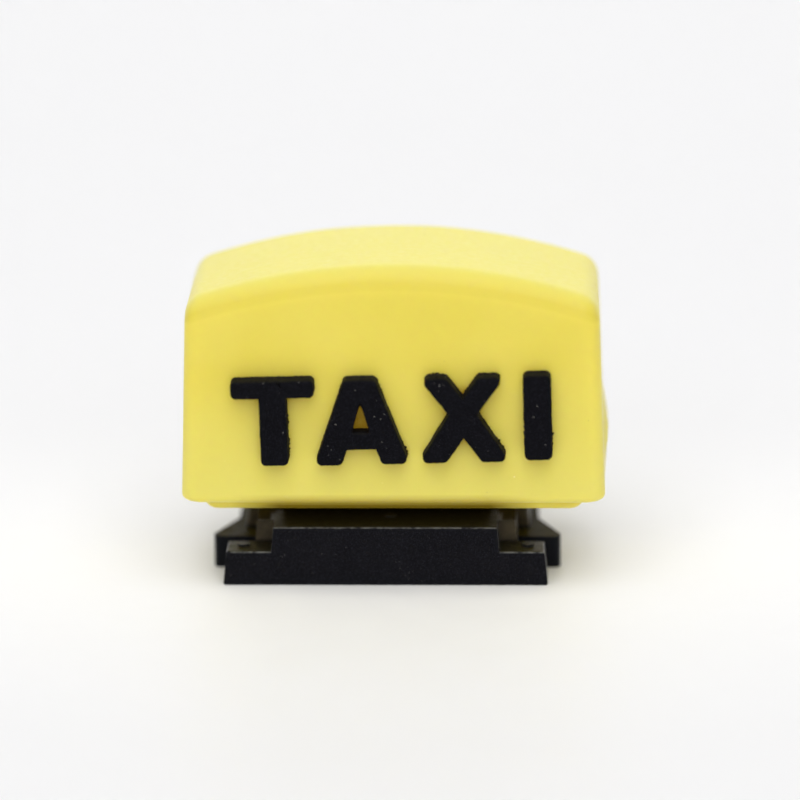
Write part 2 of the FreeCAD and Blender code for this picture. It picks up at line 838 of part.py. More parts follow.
def make_switch_body():
    """The slide switch's housing: a box under the board with a cavity and a window at the back."""
    body = new_body("switch_body", in_head=True)
    box_solid(
        body,
        "case",
        ("-switch_width / 2", "switch_width / 2"),
        ("switch_front", SWITCH_BACK),
        (SWITCH_LOW, "rim_top"),
    )
    box_solid(
        body,
        "cavity",
        ("-cavity_width / 2", "cavity_width / 2"),
        ("switch_front + switch_wall", f"{SWITCH_BACK} - switch_wall"),
        (f"{SWITCH_LOW} + switch_wall", "rim_top - switch_wall"),
        cut=True,
    )
    half_window = "knob_height / 2 + slide_gap"
    box_solid(
        body,
        "window",
        ("-window_width / 2", "window_width / 2"),
        (f"{SWITCH_BACK} - 2 * switch_wall", f"{SWITCH_BACK} + cut_past"),
        (f"{SWITCH_MIDDLE} - ({half_window})", f"{SWITCH_MIDDLE} + ({half_window})"),
        cut=True,
    )


def make_switch_slider():
    """The moving piece: a carriage inside the housing and a knob out through the shell's notch."""
    body = new_body("switch_slider", in_head=True)
    rest = "-switch_travel / 2"
    box_solid(
        body,
        "carriage",
        (f"{rest} - carriage_width / 2", f"{rest} + carriage_width / 2"),
        ("switch_front + switch_wall + slide_gap", f"{SWITCH_BACK} - switch_wall - slide_gap"),
        (f"{SWITCH_LOW} + switch_wall + slide_gap", "rim_top - switch_wall - slide_gap"),
    )
    box_solid(
        body,
        "knob",
        (f"{rest} - knob_width / 2", f"{rest} + knob_width / 2"),
        (f"{SWITCH_BACK} - switch_wall - slide_gap", "knob_reach"),
        (f"{SWITCH_MIDDLE} - knob_height / 2", f"{SWITCH_MIDDLE} + knob_height / 2"),
    )
    far = DIMS["knob_reach"]
    round_edges(body, "knob_tip", "knob_round", lambda edge: edge.CenterOfMass.y > far - NEAR)


def make_switch_terminals():
    """Three flat terminals from the front of the switch to the underside of the board."""
    body = new_body("switch_terminals", in_head=True)
    for i, place in enumerate(("-terminal_pitch", "0", "terminal_pitch")):
        box_solid(
            body,
            f"terminal_{i}",
            (f"{place} - terminal_width / 2", f"{place} + terminal_width / 2"),
            ("switch_front - terminal_length", "switch_front"),
            ("rim_top - terminal_thick", "rim_top"),
        )


def primitive(kind, name, place, **sizes):
    """A Part primitive whose sizes and place come from the sheet."""
    item = doc.addObject(f"Part::{kind}", name)
    for size, expression in sizes.items():
        item.setExpression(size, bound(expression))
    for axis, expression in zip("xyz", place):
        item.setExpression(f"Placement.Base.{axis}", bound(expression))
    return item


def make_screw(name, x, y, seat, kind):
    """A pan-head screw that points down, with a cross recess in its head."""
    head = primitive(
        "Cylinder", f"{name}_head", (x, y, seat), Radius=f"{kind}_head / 2", Height=f"{kind}_head_height"
    )
    shank = primitive(
        "Cylinder",
        f"{name}_shank",
        (x, y, f"{seat} - {kind}_length"),
        Radius=f"{kind}_shank / 2",
        Height=f"{kind}_length",
    )
    whole = doc.addObject("Part::Fuse", f"{name}_blank")
    whole.Base = head
    whole.Tool = shank
    reach = f"{kind}_recess / 2"
    top = f"{seat} + {kind}_head_height - recess_depth"
    slots = []
    for turn, (half_x, half_y) in enumerate(
        ((reach, "recess_width / 2"), ("recess_width / 2", reach))
    ):
        slots.append(
            primitive(
                "Box",
                f"{name}_slot_{turn}",
                (f"({x}) - ({half_x})", f"({y}) - ({half_y})", top),
                Length=f"2 * ({half_x})",
                Width=f"2 * ({half_y})",
                Height="recess_depth * 2",
            )
        )
    cross = doc.addObject("Part::MultiFuse", f"{name}_cross")
    cross.Shapes = slots
    screw = doc.addObject("Part::Cut", name)
    screw.Base = whole
    screw.Tool = cross
    return screw


def make_screw_set(label, places, seat, kind):
    """Identical screws as one node of separate solids."""
    screws = [
        make_screw(f"{label}_{i}", x, y, seat, kind) for i, (x, y) in enumerate(places, start=1)
    ]
    group = doc.addObject("Part::Compound", label)
    group.Label = label
    group.Links = screws
    nodes.append(group)


LETTERS = (
    ("t", letter_t(), "-t_start", "0", None),
    ("a", letter_a(), "-a_start", "middle_drop", letter_a_counter()),
    ("x", letter_x(), "x_start", "middle_drop", None),
    ("i", letter_i(), "i_start", "0", None),
)

make_shoe_foot()
make_base_cover()
make_lamp_shell()
for side in SIDE_SIGNS:
    for letter, outline, start, drop, counter in LETTERS:
        make_letter(side, letter, outline, start, drop, counter)
make_circuit_board()
make_cradle()
for index, label in enumerate(("battery_cell_left", "battery_cell_middle", "battery_cell_right")):
    make_cell(label, index)
make_positive_contact()
make_negative_contact()
make_led("led_left", "-1")
make_led("led_right", "1")
make_resistor()
make_switch_body()
make_switch_slider()
make_switch_terminals()
make_screw_set(
    "foot_screws",
    [(f"{s} * foot_screw_x + head_offset", "foot_screw_y") for s in ("-1", "1")],
    "cover_bottom + cover_floor",
    "foot_screw",
)
make_screw_set(
    "board_screws",
    [(f"{s} * board_screw_x + head_offset", f"-({s}) * board_screw_y") for s in ("-1", "1")],
    "rim_top + board_thick",
    "board_screw",
)

doc.recompute()

failed = [item.Label for item in doc.Objects if "Invalid" in item.State or "Error" in item.State]
if failed:
    raise RuntimeError(f"did not build: {failed}")
for node in nodes:
    if node.Shape.isNull() or not node.Shape.isValid():
        raise RuntimeError(f"{node.Label} has no valid shape")

os.makedirs("parts", exist_ok=True)
for node in nodes:
    node.Shape.exportStep(os.path.join("parts", f"{node.Label}.step"))
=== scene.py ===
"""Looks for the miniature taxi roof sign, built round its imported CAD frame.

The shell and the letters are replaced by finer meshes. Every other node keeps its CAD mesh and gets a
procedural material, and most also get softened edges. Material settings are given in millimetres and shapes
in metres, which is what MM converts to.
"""

import math

import bmesh
import bpy
import numpy as np
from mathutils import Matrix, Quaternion, Vector, noise


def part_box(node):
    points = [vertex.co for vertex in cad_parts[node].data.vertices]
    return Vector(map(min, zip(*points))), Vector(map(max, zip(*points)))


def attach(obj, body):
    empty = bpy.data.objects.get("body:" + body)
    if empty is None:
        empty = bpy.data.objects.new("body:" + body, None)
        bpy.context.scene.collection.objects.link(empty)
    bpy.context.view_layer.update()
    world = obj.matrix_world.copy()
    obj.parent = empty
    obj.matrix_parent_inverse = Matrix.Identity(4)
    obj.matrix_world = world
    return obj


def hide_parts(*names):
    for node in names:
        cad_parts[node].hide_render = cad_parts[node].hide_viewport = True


MM = 0.001
X, Y, Z = range(3)

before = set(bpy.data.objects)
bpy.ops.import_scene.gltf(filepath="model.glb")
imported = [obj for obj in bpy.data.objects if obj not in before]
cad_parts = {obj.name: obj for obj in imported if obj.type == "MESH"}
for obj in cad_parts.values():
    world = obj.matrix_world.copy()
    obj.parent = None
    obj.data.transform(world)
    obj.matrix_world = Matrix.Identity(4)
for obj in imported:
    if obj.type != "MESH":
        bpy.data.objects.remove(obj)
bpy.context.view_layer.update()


# Node graphs


class Graph:
    """A material's node tree, with short calls for the nodes used here."""

    def __init__(self, name):
        self.material = bpy.data.materials.new(name)
        self.material.use_nodes = True
        self.tree = self.material.node_tree
        self.shader = self.tree.nodes["Principled BSDF"]
        self.place = self.node("ShaderNodeTexCoord").outputs["Object"]

    def node(self, kind, **settings):
        """A new node with the given settings."""
        item = self.tree.nodes.new(kind)
        for key, value in settings.items():
            setattr(item, key, value)
        return item

    def feed(self, value, socket):
        """Links an output, or sets a plain value."""
        if isinstance(value, bpy.types.NodeSocket):
            self.tree.links.new(value, socket)
        else:
            socket.default_value = value

    def remap(self, value, low, high, to_low, to_high):
        """Carries the span low to high over to the span to_low to to_high, and stops at its ends."""
        item = self.node("ShaderNodeMapRange")
        ends = {"From Min": low, "From Max": high, "To Min": to_low, "To Max": to_high}
        for key, number in ends.items():
            item.inputs[key].default_value = number
        self.feed(value, item.inputs["Value"])
        return item.outputs["Result"]

    def ramp(self, value, low, high):
        """0 at low and 1 at high; low may be the larger."""
        return self.remap(value, low, high, 0.0, 1.0)

    def math(self, operation, first, second=0.0):
        """One arithmetic step."""
        item = self.node("ShaderNodeMath", operation=operation)
        self.feed(first, item.inputs[0])
        self.feed(second, item.inputs[1])
        return item.outputs["Value"]

    def times(self, first, *others):
        """The product of all the values."""
        for other in others:
            first = self.math("MULTIPLY", first, other)
        return first

    def mix(self, factor, first, second):
        """Blends two colours."""
        item = self.node("ShaderNodeMix", data_type="RGBA")
        factor_input, first_input, second_input, result_output = 0, 6, 7, 2
        self.feed(factor, item.inputs[factor_input])
        for colour, socket in ((first, first_input), (second, second_input)):
            if not isinstance(colour, bpy.types.NodeSocket):
                colour = (*colour, 1.0)
            self.feed(colour, item.inputs[socket])
        return item.outputs[result_output]

    def noise(self, grain_mm, detail=3.0, stretch=(1.0, 1.0, 1.0)):
        """Noise from 0 to 1 whose blotches are about grain_mm across."""
        mapping = self.node("ShaderNodeMapping")
        mapping.inputs["Scale"].default_value = stretch
        self.feed(self.place, mapping.inputs["Vector"])
        texture = self.node("ShaderNodeTexNoise")
        texture.inputs["Scale"].default_value = 1.0 / (grain_mm * MM)
        texture.inputs["Detail"].default_value = detail
        self.feed(mapping.outputs["Vector"], texture.inputs["Vector"])
        return texture.outputs["Fac"]

    def uneven(self, grain_mm, lowest, highest, detail=3.0):
        """A setting that drifts between two values over grain_mm."""
        usual_low, usual_high = 0.3, 0.7
        return self.remap(self.noise(grain_mm, detail), usual_low, usual_high, lowest, highest)

    def speckle(self, colour, spacing_mm, size, patch_mm, patch, strength, speck_colour):
        """Adds dots, whose radius is size times their spacing, in patches where noise rises through patch."""
        core = 0.6
        texture = self.node("ShaderNodeTexVoronoi")
        texture.inputs["Scale"].default_value = 1.0 / (spacing_mm * MM)
        self.feed(self.place, texture.inputs["Vector"])
        dots = self.ramp(texture.outputs["Distance"], size, size * core)
        patches = self.remap(self.noise(patch_mm), *patch, 0.0, strength)
        return self.mix(self.times(dots, patches), colour, speck_colour)

    def at(self, axis):
        """One coordinate of the place, in metres."""
        split = self.node("ShaderNodeSeparateXYZ")
        self.feed(self.place, split.inputs[0])
        return split.outputs[axis]

    def normal(self, axis):
        """One part of the surface normal."""
        split = self.node("ShaderNodeSeparateXYZ")
        self.feed(self.node("ShaderNodeNewGeometry").outputs["Normal"], split.inputs[0])
        return split.outputs[axis]

    def along(self, axis, low_mm, high_mm):
        """0 at low_mm and 1 at high_mm along an axis."""
        return self.ramp(self.at(axis), low_mm * MM, high_mm * MM)

    def aside(self, low_mm, high_mm):
        """0 at low_mm and 1 at high_mm from the middle plane, to either side."""
        return self.ramp(self.math("ABSOLUTE", self.at(X)), low_mm * MM, high_mm * MM)

    def near(self, x_mm, y_mm, full_mm, clear_mm, squeeze=1.0):
        """1 within full_mm of an upright line and 0 from clear_mm, with X distances squeezed."""
        along = self.times(self.math("SUBTRACT", self.at(X), x_mm * MM), squeeze)
        across = self.math("SUBTRACT", self.at(Y), y_mm * MM)
        squares = [self.times(side, side) for side in (along, across)]
        distance = self.math("SQRT", self.math("ADD", *squares))
        return self.ramp(distance, clear_mm * MM, full_mm * MM)

    def edges(self, reach_mm):
        """1 along sharp edges and 0 on flats, reaching about reach_mm from an edge."""
        slight_turn, full_turn = 0.98, 0.65
        bevel = self.node("ShaderNodeBevel", samples=6)
        bevel.inputs["Radius"].default_value = reach_mm * MM
        geometry = self.node("ShaderNodeNewGeometry")
        dot = self.node("ShaderNodeVectorMath", operation="DOT_PRODUCT")
        self.feed(bevel.outputs["Normal"], dot.inputs[0])
        self.feed(geometry.outputs["Normal"], dot.inputs[1])
        return self.ramp(dot.outputs["Value"], slight_turn, full_turn)

    def turning_over(self):
        """0 on the upright walls, rising to 1 as the front or back wall turns over into the top."""
        leaning, turned = 0.07, 0.17
        up = self.math("MAXIMUM", self.normal(Z))
        forward = self.math("ABSOLUTE", self.normal(Y))
        share = self.math("DIVIDE", up, self.math("ADD", up, forward))
        return self.times(share, self.ramp(up, leaning, turned))

    def rounded_over(self):
        """1 where a surface turns over between upright and level, 0 on flats and slightly leaning walls."""
        leaning, slanted = 0.2, 0.42
        up = self.math("ABSOLUTE", self.normal(Z))
        level = self.math("SQRT", self.math("SUBTRACT", 1.0, self.times(up, up)))
        return self.ramp(self.times(up, level), leaning, slanted)

    def faces_up(self):
        """1 on tops and 0 on walls and steep slopes."""
        slope, level = 0.8, 0.95
        return self.ramp(self.normal(Z), slope, level)

    def slanted(self, low, high):
        """0 where the surface faces the viewer and 1 where it is seen edge on."""
        layer = self.node("ShaderNodeLayerWeight")
        layer.inputs["Blend"].default_value = 0.5
        return self.ramp(layer.outputs["Facing"], low, high)

    def hidden(self, reach_mm, low, high):
        """1 deep in gaps narrower than about reach_mm, 0 in the open."""
        shade = self.node("ShaderNodeAmbientOcclusion", samples=8)
        shade.inputs["Distance"].default_value = reach_mm * MM
        return self.ramp(shade.outputs["AO"], high, low)

    def over_the_foot(self, clear_mm, full_mm):
        """Close shade over the foot's neck: 0 at the height clear_mm, 1 at full_mm, fading out sideways."""
        neck_side_mm, open_side_mm = 5.6, 8.2
        return self.times(self.aside(open_side_mm, neck_side_mm), self.along(Z, clear_mm, full_mm))

    def bump(self, *layers):
        """Stacks (height, depth_mm) layers and feeds them to the shader."""
        normal = None
        for height, depth_mm in layers:
            item = self.node("ShaderNodeBump")
            item.inputs["Distance"].default_value = depth_mm * MM
            self.feed(height, item.inputs["Height"])
            if normal is not None:
                self.feed(normal, item.inputs["Normal"])
            normal = item.outputs["Normal"]
        self.feed(normal, self.shader.inputs["Normal"])

    def set(self, **values):
        """Sets shader inputs; an underscore in a name stands for a space."""
        for key, value in values.items():
            if isinstance(value, tuple) and len(value) == 3 and "Color" in key:
                value = (*value, 1.0)
            self.feed(value, self.shader.inputs[key.replace("_", " ")])

    def now(self, name):
        """What already feeds a shader input."""
        return self.shader.inputs[name].links[0].from_socket


def tint(colour, factor):
    """A colour made lighter or darker."""
    return tuple(min(1.0, channel * factor) for channel in colour)


# Materials


def yellow_lens():
    """Soft translucent moulded plastic with faint flow marks and dust.

    A little amber glow stands for daylight that comes through the hollow shell from behind.
    """
    graph = Graph("yellow_lens")
    pale, deep = (0.745, 0.662, 0.116), (0.725, 0.640, 0.098)
    painted_floor_light_tone = (0.715, 0.672, 0.160)
    painted_shade_brow_foot, painted_light_brow, top = (0.635, 0.555, 0.074), (0.67, 0.632, 0.150), (0.72, 0.675, 0.143)
    painted_edge_sheen = (0.70, 0.685, 0.29)
    dark_dust, pale_dust = (0.30, 0.24, 0.10), (0.95, 0.90, 0.50)
    close_shade = (0.30, 0.23, 0.02)
    amber = (0.26, 0.13, 0.004)
    flow = graph.ramp(graph.noise(4.5, 2.0), 0.35, 0.65)
    colour = graph.mix(flow, pale, deep)
    # Painted light: the lower walls are tinted greener and paler, standing for floor light falling on the
    # translucent shell.
    colour = graph.mix(graph.along(Z, 12.0, 5.5), colour, painted_floor_light_tone)
    # Painted light and shade over the crown: a darker band where the front and back walls start to turn, then
    # paler tones up to the top, which is painted lighter as if lit from above.
    turning = graph.turning_over()
    for start, end, shade in ((0.0, 0.33, painted_shade_brow_foot), (0.33, 0.81, painted_light_brow), (0.81, 1.0, top)):
        colour = graph.mix(graph.ramp(turning, start, end), colour, shade)
    # Painted sheen: the shell is tinted paler where it is seen edge on.
    colour = graph.mix(graph.times(graph.slanted(0.5, 1.0), 0.7), colour, painted_edge_sheen)
    colour = graph.speckle(colour, 1.9, 0.032, 3.0, (0.45, 0.55), 0.7, dark_dust)
    colour = graph.speckle(colour, 1.7, 0.035, 2.2, (0.45, 0.6), 0.5, pale_dust)
    colour = graph.mix(graph.times(graph.over_the_foot(5.35, 4.85), 0.8), colour, close_shade)
    # Painted shade: deep amber in narrow gaps, such as the letters' counters and round the letters' feet,
    # with less shine there.
    hidden = graph.hidden(1.1, 0.22, 0.42)
    graph.set(
        Base_Color=graph.mix(hidden, colour, amber),
        Roughness=graph.uneven(0.35, 0.42, 0.58),
        Specular_IOR_Level=graph.remap(hidden, 0.0, 1.0, 0.35, 0.03),
        Subsurface_Weight=1.0,
        Subsurface_Radius=(1.0, 0.85, 0.30),
        Subsurface_Scale=0.55 * MM,
        Emission_Color=(1.0, 0.57, 0.02),
        Emission_Strength=0.10,
    )
    graph.bump((graph.noise(1.6, 2.0), 0.02), (graph.noise(0.16, 4.0), 0.004))
    return graph.material


def yellow_base():
    """The base cover: the same plastic, darker where the foot shades it closely."""
    graph = Graph("yellow_base")
    pale, deep = (0.74, 0.65, 0.13), (0.70, 0.61, 0.11)
    close_shade = (0.10, 0.065, 0.003)
    sunlit = graph.mix(graph.noise(3.0, 2.0), pale, deep)
    graph.set(
        Base_Color=graph.mix(graph.over_the_foot(4.85, 4.35), sunlit, close_shade),
        Roughness=graph.uneven(0.3, 0.45, 0.62),
        Specular_IOR_Level=0.12,
        Subsurface_Weight=1.0,
        Subsurface_Radius=(1.0, 0.8, 0.3),
        Subsurface_Scale=0.8 * MM,
        # Painted glow: a faint amber emission stands for light coming through the translucent plastic.
        Emission_Color=(1.0, 0.70, 0.01),
        Emission_Strength=0.07,
    )
    graph.bump((graph.noise(0.2, 3.0), 0.006))
    return graph.material


def worn_black(name, base, edge_wear_and_highlight, grain_mm, depth_mm, roughness, edge_mm, rubbing, shine, dust_and_glints):
    """Black moulding: dull face on, shinier at a slant, with a grained skin, paler edges that are partly
    rubbed wear and partly a painted highlight, and pale specks of dust that, where strong, also stand for
    painted glints.
    """
    graph = Graph(name)
    cloudy, pitted = tint(base, 1.7), tint(base, 6.5)
    coarse_dust, fine_dust = (0.55, 0.52, 0.45), (0.62, 0.60, 0.55)
    face_on_shine = 0.03
    colour = graph.mix(graph.noise(1.4, 3.0), base, cloudy)
    colour = graph.mix(graph.ramp(graph.noise(0.045, 2.0), 0.52, 0.74), colour, pitted)
    broken = graph.remap(graph.noise(0.3, 4.0), 0.36, 0.56, 0.1, rubbing)
    # Paler edges: partly rubbed wear, partly a painted highlight along rounded and sharp edges, with more
    # shine there.
    rubbed = graph.times(graph.math("MAXIMUM", graph.edges(edge_mm), graph.rounded_over()), broken)
    colour = graph.mix(rubbed, colour, edge_wear_and_highlight)
    # Pale specks: dust, and where strong, as on the letters, also painted glints.
    colour = graph.speckle(colour, 0.38, 0.06, 1.2, (0.5, 0.6), dust_and_glints, coarse_dust)
    colour = graph.speckle(colour, 0.21, 0.09, 0.8, (0.56, 0.62), dust_and_glints, fine_dust)
    slant = graph.remap(graph.slanted(0.25, 0.75), 0.0, 1.0, face_on_shine, shine)
    graph.set(
        Base_Color=colour,
        Roughness=graph.uneven(0.5, roughness - 0.08, roughness + 0.10),
        Specular_IOR_Level=graph.math("MAXIMUM", slant, graph.times(rubbed, shine)),
    )
    graph.bump((graph.noise(grain_mm, 3.0), depth_mm), (graph.noise(grain_mm * 4, 2.0), depth_mm))
    return graph


def paint_light_on_the_foot(graph):
    """Painted light on the foot: a patchy pale brown light on the walls set back above the nose bar, painted
    reflections of the yellow shell on the level tops, and the gate mark painted paler as a highlight; also a
    dark bluish-grey tone on the wings, and dull ledges and wings.
    """
    # The colour named dust is painted light: the pale brown the set-back walls show where light reaches them.
    dust, gate_mark_highlight = (0.115, 0.094, 0.060), (0.12, 0.11, 0.085)
    wing_wall, painted_wing_top_reflection = (0.0105, 0.0115, 0.0145), (0.050, 0.041, 0.010)
    painted_neck_top_reflection, painted_bar_top_reflection = (0.020, 0.0165, 0.005), (0.022, 0.018, 0.004)
    tops = graph.faces_up()
    over_the_neck = graph.along(Z, 3.1, 3.2)
    recess_height = graph.times(graph.along(Z, 1.82, 2.0), graph.along(Z, 3.5, 2.9))
    recess_depth = graph.times(graph.along(Y, -2.7, -2.5), graph.along(Y, 1.6, 0.6))
    patchy = graph.uneven(0.9, 0.5, 0.9)
    mark = graph.times(graph.near(0.23, -2.3, 0.264, 0.33), over_the_neck)
    wing = graph.times(graph.along(Z, 1.82, 1.78), graph.along(Y, -1.6, -1.4))
    wing_top = graph.times(wing, tops)
    bar_top = graph.times(graph.along(Z, 1.9, 1.86), tops, graph.along(Y, -1.6, -1.8))
    beside_the_neck = graph.times(graph.aside(6.05, 6.2), graph.along(Y, -2.9, -2.4))
    set_far_back = graph.math("MAXIMUM", beside_the_neck, graph.along(Y, -2.4, -1.2))
    ledge = graph.times(graph.along(Z, 2.8, 2.95), set_far_back)

    # Painted light: a patchy pale brown tone on the walls set back above the nose bar.
    colour = graph.mix(graph.times(recess_height, recess_depth, patchy), graph.now("Base Color"), dust)
    # Painted highlight: the gate mark on the neck's top is painted paler.
    colour = graph.mix(graph.times(mark, 0.8), colour, gate_mark_highlight)
    colour = graph.mix(graph.times(wing, 0.8), colour, wing_wall)
    # Painted reflections: olive tints on the wing, neck and bar tops stand for the yellow shell mirrored in
    # them.
    colour = graph.mix(wing_top, colour, painted_wing_top_reflection)
    colour = graph.mix(graph.times(over_the_neck, tops, 0.6), colour, painted_neck_top_reflection)
    colour = graph.mix(graph.times(bar_top, 0.8), colour, painted_bar_top_reflection)
    # Real shine is turned down where reflections are painted, and off on the ledges.
    shine = graph.now("Specular IOR Level")
    for where, kept in ((ledge, 0.0), (wing_top, 0.04), (bar_top, 0.35)):
        shine = graph.times(shine, graph.remap(where, 0.0, 1.0, 1.0, kept))
    graph.set(Base_Color=colour, Specular_IOR_Level=shine)


def plain_plastic(name, colour, roughness):
    """A small moulding with mild colour variation, a fine skin and paler edges."""
    graph = Graph(name)
    darker, paler = tint(colour, 0.78), tint(colour, 1.5)
    edge_reach_mm, edge_strength = 0.06, 0.35
    mixed = graph.mix(graph.noise(0.9, 3.0), colour, darker)
    mixed = graph.mix(graph.times(graph.edges(edge_reach_mm), edge_strength), mixed, paler)
    graph.set(
        Base_Color=mixed,
        Roughness=graph.uneven(0.3, roughness - 0.07, roughness + 0.07),
    )
    graph.bump((graph.noise(0.12, 3.0), 0.004))
    return graph.material


def metal(name, colour, roughness, brushed):
    """Bare metal with brushing along the stretch, dull patches and bright rubbed edges."""
    graph = Graph(name)
    tarnished, bright = tint(colour, 0.66), tint(colour, 1.3)
    edge_reach_mm, edge_strength = 0.05, 0.6
    dull = graph.remap(graph.noise(1.1, 3.0), 0.4, 0.65, 0.0, 0.6)
    mixed = graph.mix(dull, colour, tarnished)
    mixed = graph.mix(graph.times(graph.edges(edge_reach_mm), edge_strength), mixed, bright)
    lines = graph.noise(0.05, 2.0, brushed)
    graph.set(
        Base_Color=mixed,
        Metallic=1.0,
        Roughness=graph.remap(lines, 0.3, 0.7, roughness - 0.08, roughness + 0.12),
    )
    graph.bump((lines, 0.0015))
    return graph.material


def board_laminate():
    """Green solder mask over a woven laminate, with faint tracks under it."""
    graph = Graph("board_laminate")
    mask, track_colour, bare_edge = (0.012, 0.10, 0.035), (0.03, 0.20, 0.07), (0.45, 0.42, 0.22)
    track_spacing_mm, wander = 3.2, 6.0
    edge_reach_mm, edge_strength = 0.08, 0.8
    wave = graph.node("ShaderNodeTexWave", wave_type="BANDS", bands_direction="X")
    wave.inputs["Scale"].default_value = 1.0 / (track_spacing_mm * MM)
    wave.inputs["Distortion"].default_value = wander
    graph.feed(graph.place, wave.inputs["Vector"])
    track = graph.ramp(wave.outputs["Fac"], 0.55, 0.62)
    colour = graph.mix(track, mask, track_colour)
    colour = graph.mix(graph.times(graph.edges(edge_reach_mm), edge_strength), colour, bare_edge)
    graph.set(
        Base_Color=colour,
        Roughness=graph.uneven(0.4, 0.22, 0.4),
        Coat_Weight=0.3,
    )
    graph.bump((track, 0.01), (graph.noise(0.1, 2.0), 0.002))
    return graph.material


def lamp_resin():
    """Warm clear lamp resin with a milky core."""
    graph = Graph("lamp_resin")
    clear, milky = (0.95, 0.93, 0.80), (0.90, 0.86, 0.66)
    graph.set(
        Base_Color=graph.mix(graph.uneven(0.8, 0.0, 1.0, 2.0), clear, milky),
        Roughness=graph.uneven(0.3, 0.05, 0.14),
        Transmission_Weight=0.75,
        IOR=1.5,
        Subsurface_Weight=0.2,
        Subsurface_Radius=(1.0, 1.0, 0.8),
        Subsurface_Scale=0.4 * MM,
    )
    graph.bump((graph.noise(0.5, 2.0), 0.004))
    return graph.material


def resistor_coat():
    """Tan lacquer with four colour bands round the barrel, and bare leads."""
    graph = Graph("resistor_coat")
    tan, dark_tan, lead_colour = (0.56, 0.40, 0.21), (0.48, 0.33, 0.16), (0.7, 0.7, 0.68)
    bands = (
        (-1.05, (0.35, 0.10, 0.02)),
        (-0.45, (0.02, 0.02, 0.02)),
        (0.15, (0.12, 0.04, 0.01)),
        (1.0, (0.55, 0.38, 0.06)),
    )
    head_middle_mm = 0.46
    band_half_mm, band_core_mm = 0.14, 0.112
    head_half_mm, lead_start_mm = 1.62, 1.64
    colour = graph.mix(graph.noise(0.4), tan, dark_tan)
    for place_mm, band_colour in bands:
        centre = (place_mm + head_middle_mm) * MM
        away = graph.math("ABSOLUTE", graph.math("SUBTRACT", graph.at(X), centre))
        colour = graph.mix(graph.ramp(away, band_half_mm * MM, band_core_mm * MM), colour, band_colour)
    away = graph.math("ABSOLUTE", graph.math("SUBTRACT", graph.at(X), head_middle_mm * MM))
    lead = graph.ramp(away, head_half_mm * MM, lead_start_mm * MM)
    graph.set(
        Base_Color=graph.mix(lead, colour, lead_colour),
        Metallic=lead,
        Roughness=graph.uneven(0.3, 0.22, 0.36),
    )
    graph.bump((graph.noise(0.2, 2.0), 0.006))
    return graph.material


# Mesh helpers


def mesh_object(name, points, faces, material, smooth_angle=32.0):
    """A smooth-shaded object from points and faces, sharp only where faces meet steeply."""
    mesh = bpy.data.meshes.new(name)
    mesh.from_pydata([tuple(point) for point in points], [], faces)
    mesh.validate()
    tidy = bmesh.new()
    tidy.from_mesh(mesh)
    bmesh.ops.recalc_face_normals(tidy, faces=tidy.faces)
    tidy.to_mesh(mesh)
    tidy.free()
    mesh.polygons.foreach_set("use_smooth", [True] * len(mesh.polygons))
    mesh.set_sharp_from_angle(angle=math.radians(smooth_angle))
    mesh.materials.append(material)
    piece = bpy.data.objects.new(name, mesh)
    bpy.context.scene.collection.objects.link(piece)
    return piece


def wobble(place, grain_mm, seed):
    """Smooth noise from about -1 to 1 that varies over grain_mm."""
    offset = Vector((seed * 3.7, seed * 1.9, seed * 5.3))
    return noise.noise(Vector(place) / (grain_mm * MM) + offset)


# The shell


